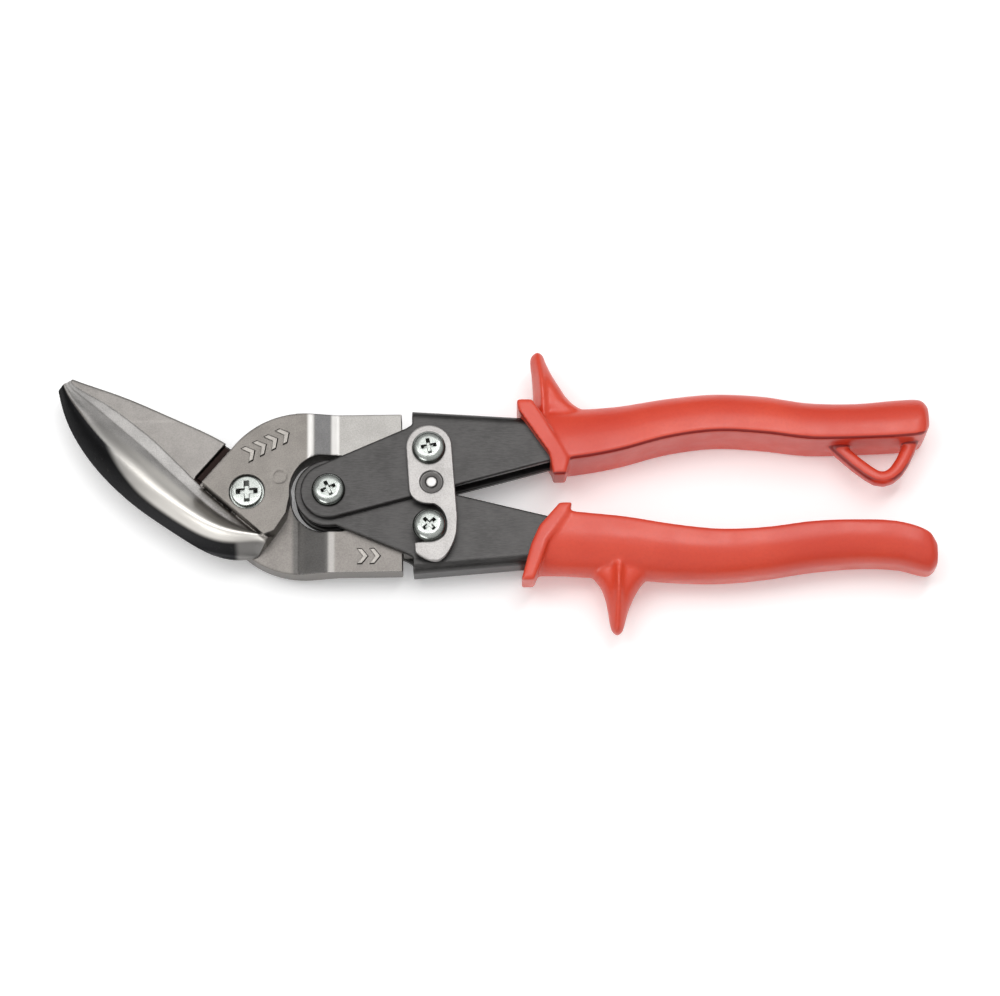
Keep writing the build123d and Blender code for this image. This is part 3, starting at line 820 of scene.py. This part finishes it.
# Stations of a grip's body: x, outer edge, inner edge, and how far front and back draw in.
upper_stations = [
    (50.0, 23.4, 6.6, 0), (60.0, 23.4, 6.9, 0), (68, 23.4, 7.6, 0), (78, 24.0, 9.4, 0), (91, 25.7, 12.8, 0),
    (104, 26.7, 14.4, 0), (117, 25.9, 13.6, 0), (129, 23.9, 12.0, 0.2), (142, 23.5, 12.0, 0.4),
    (154, 24.5, 12.4, 0.5), (159.8, 24.3, 13.4, 0.9), (161.4, 22.2, 16.0, 2.9),
]
upper_collar = [(50.4, 24.2), (50.9, 21.0), (59.1, 8.7), (60.0, 2.8), (63.4, 2.8), (64.4, 6.8),
                (58.2, 18.6), (54.6, 24.2)]
upper_spur = [(17.0, 54.0, 74.0, 5.4), (21.5, 54.6, 71.0, 5.8), (24.3, 54.9, 66.6, 6.2),
              (26.5, 55.0, 64.4, 6.2), (29.0, 55.0, 62.8, 6.1), (33.6, 54.7, 60.2, 4.7),
              (37.6, 54.4, 58.5, 3.2), (39.2, 54.9, 58.0, 2.4), (39.8, 55.8, 57.1, 1.2)]
upper_shells = [
    grip_shell(1, upper_stations, (54.2, 0.515)),
    collar_shell(upper_collar),
    spur_shell(1, upper_spur, (57.9, 56.6)),
    loop_shell(),
]
grip("upper_grip_moulded", "upper_grip", "upper_handle_body", upper_shells, channel_shell(1, -4.05, 6.05))

lower_stations = [
    (50.0, 22.7, 6.4, 0), (60.0, 22.7, 6.6, 0), (68, 23.2, 7.5, 0), (79, 23.9, 8.8, 0), (92, 25.0, 11.1, 0),
    (104, 25.2, 12.5, 0), (116, 24.2, 12.2, 0), (129, 22.3, 10.7, 0), (142, 21.4, 10.4, 0.2),
    (152, 22.0, 11.1, 0.4), (159.6, 23.9, 13.8, 0.9), (161.8, 22.2, 16.6, 2.9),
]
lower_collar = [(51.0, -26.2), (53.7, -16.3), (56.0, -11.2), (61.5, -4.9), (65.0, -4.9), (63.6, -8.4),
                (58.4, -15.6), (54.4, -26.2)]
lower_spur = [(15.0, 65.0, 90.0, 5.0), (20.5, 67.5, 87.5, 5.6), (24.0, 70.4, 84.8, 6.2),
              (26.0, 71.9, 83.0, 6.3), (28.9, 73.1, 81.2, 6.2), (33.0, 73.9, 79.4, 4.8),
              (36.8, 74.4, 78.3, 3.4), (38.6, 75.0, 77.7, 2.4), (39.3, 75.8, 76.9, 1.2)]
lower_shells = [
    grip_shell(-1, lower_stations, (56.3, 0.52)),
    collar_shell(lower_collar),
    spur_shell(-1, lower_spur, (77.2, 76.3)),
]
grip("lower_grip_moulded", "lower_grip", "lower_handle_body", lower_shells, channel_shell(-1, -6.05, 4.05))


# ======================================================================================
# Cast marks
# ======================================================================================

def raised_mark(name, outline, bottom, height, material, body):
    """A low cast mark with sloped sides; its outline lies in plan."""
    middle = Vector((sum(x for x, y in outline), sum(y for x, y in outline), 0)) / len(outline)
    rings = []
    for z, inset in ((bottom - 0.3, -0.1), (bottom, -0.1), (bottom + height, 0.24)):
        ring = []
        for x, y in outline:
            inwards = (middle - Vector((x, y, 0))).normalized() * inset
            ring.append(place(x + inwards.x, y + inwards.y, z))
        rings.append(ring)
    piece = new_piece(name, *loft(rings), material)
    bevel = piece.modifiers.new("bevel", "BEVEL")
    bevel.width = 0.08 * mm
    bevel.segments = 2
    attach(piece, body)


def chevron(center, turn, size, bar):
    """Outline of an arrowhead that points along turn, in degrees."""
    point = 0.5
    barb = -0.3
    shape = [(point, 0), (barb, 1), (barb - bar, 1), (point - bar, 0), (barb - bar, -1), (barb, -1)]
    outline = []
    for x, y in shape:
        turned_x, turned_y = turned(x, y, turn)
        outline.append((center[0] + turned_x * size, center[1] + turned_y * size))
    return outline


for index in range(4):
    spot = (-20.6 + 3.05 * index, 10.9 + 1.62 * index)
    raised_mark(f"boss_chevron_{index + 1}", chevron(spot, 28, 2.3, 0.62), 6.0, 0.42, cast_mark,
                "front_blade_body")
for index in range(2):
    spot = (9.4 + 3.3 * index, -17.3)
    raised_mark(f"tang_chevron_{index + 1}", chevron(spot, 0, 2.2, 0.62), 2.0, 0.36, cast_mark,
                "rear_blade_body")


# ======================================================================================
# Opening spring
# ======================================================================================

def spring_line():
    """Centre line of the spring: the leg to the upper handle, the coil, the leg to the lower handle."""
    radius = 6.3
    pitch = 1.15
    turns = 2.5
    bottom = -pitch * turns / 2
    leg = [(48.5, 18.0), (46.0, 15.7), (40.0, 10.3), (35.5, 6.2), (33.5, 4.4), (31.3, 3.1),
           (28.5, 3.1), (20, 4.1), (10, 5.3), (5, 5.75), (2.5, 6.15)]
    points = [place(x, y, bottom) for x, y in leg]
    steps = 90
    for step in range(steps + 1):
        turn = pi / 2 + 2 * pi * turns * step / steps
        points.append(place(radius * cos(turn), radius * sin(turn), bottom + pitch * turns * step / steps))
    points += [place(x, -y, -bottom) for x, y in reversed(leg)]
    return points


wire_radius = 0.55
spring = new_piece("spring_wire", *tube(spring_line(), wire_radius * mm), wire_steel)
smooth_by_angle(spring, 40)
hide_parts("handle_spring")
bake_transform(spring)


# ======================================================================================
# Studio
# ======================================================================================

def floor():
    """A pale matt sheet under the tool; its size is in metres."""
    half = 2.0
    corners = [(-half, -half, 0), (half, -half, 0), (half, half, 0), (-half, half, 0)]
    finish = Finish("floor")
    cloud = finish.noise(300, detail=2)
    finish.set("Base Color", finish.mix(cloud, (0.93, 0.93, 0.93), (0.95, 0.95, 0.95)))
    finish.set("Roughness", 0.9)
    finish.set("Specular IOR Level", 0.1)
    finish.set("Emission Color", (1, 1, 1, 1))
    finish.set("Emission Strength", 0.20)
    piece = new_piece("floor", corners, [(0, 1, 2, 3)], finish.material)


def softbox(name, position, target, width, length, power):
    """A rectangular lamp aimed at a target; returns it."""
    data = bpy.data.lights.new(name, "AREA")
    data.shape = "RECTANGLE"
    data.size = width
    data.size_y = length
    data.energy = power
    lamp = bpy.data.objects.new(name, data)
    lamp.location = position
    lamp.rotation_euler = (Vector(target) - Vector(position)).to_track_quat("-Z", "Y").to_euler()
    bpy.context.scene.collection.objects.link(lamp)
    return lamp


def world(horizon, zenith):
    """Plain studio surroundings, darker towards the horizon."""
    made = bpy.data.worlds.new("studio")
    made.use_nodes = True
    tree = made.node_tree
    direction = tree.nodes.new("ShaderNodeTexCoord")
    height = tree.nodes.new("ShaderNodeSeparateXYZ")
    tree.links.new(direction.outputs["Generated"], height.inputs[0])
    shade = tree.nodes.new("ShaderNodeMapRange")
    shade.interpolation_type = "SMOOTHSTEP"
    shade.inputs["From Min"].default_value = 0.05
    shade.inputs["From Max"].default_value = 0.85
    shade.inputs["To Min"].default_value = horizon
    shade.inputs["To Max"].default_value = zenith
    tree.links.new(height.outputs["Z"], shade.inputs["Value"])
    tree.links.new(shade.outputs["Result"], tree.nodes["Background"].inputs["Strength"])
    tree.nodes["Background"].inputs["Color"].default_value = (1.0, 1.0, 1.0, 1.0)
    bpy.context.scene.world = made


def camera():
    """The main view: from above and a little from the front, with a long lens."""
    distance = 0.85
    data = bpy.data.cameras.new("camera")
    data.sensor_width = 36
    data.sensor_fit = "HORIZONTAL"
    data.lens = 114.84
    data.dof.use_dof = False
    target = Vector((0.00162, -0.00314, 0.015))
    forward = Vector((0.00408, 0.29236, -0.9563)).normalized()
    right = Vector((0.9999, -0.01396, 0)).normalized()
    up = right.cross(forward)
    eye = bpy.data.objects.new("camera", data)
    turn = Matrix((right, up, -forward)).transposed()
    eye.matrix_world = Matrix.Translation(target - forward * distance) @ turn.to_4x4()
    bpy.context.scene.collection.objects.link(eye)
    bpy.context.scene.camera = eye


floor()
softbox("overhead", (0.0, 0.28, 0.92), (0, 0, 0), width=0.55, length=0.55, power=1.15)
softbox("strip", (0.22, 0.26, 0.86), (0, 0, 0), width=0.10, length=0.70, power=1.4)
softbox("left", (-0.36, 0.05, 0.86), (0, 0, 0), width=0.30, length=0.50, power=1.4)
world(horizon=0.12, zenith=0.85)
# this lamp only makes highlights
glint = softbox("glint", (-0.30, -0.46, 0.26), (-0.04, 0, 0.01), width=0.34, length=0.16, power=0.9)
glint.visible_diffuse = False
camera()
bpy.context.scene.view_settings.view_transform = "Standard"
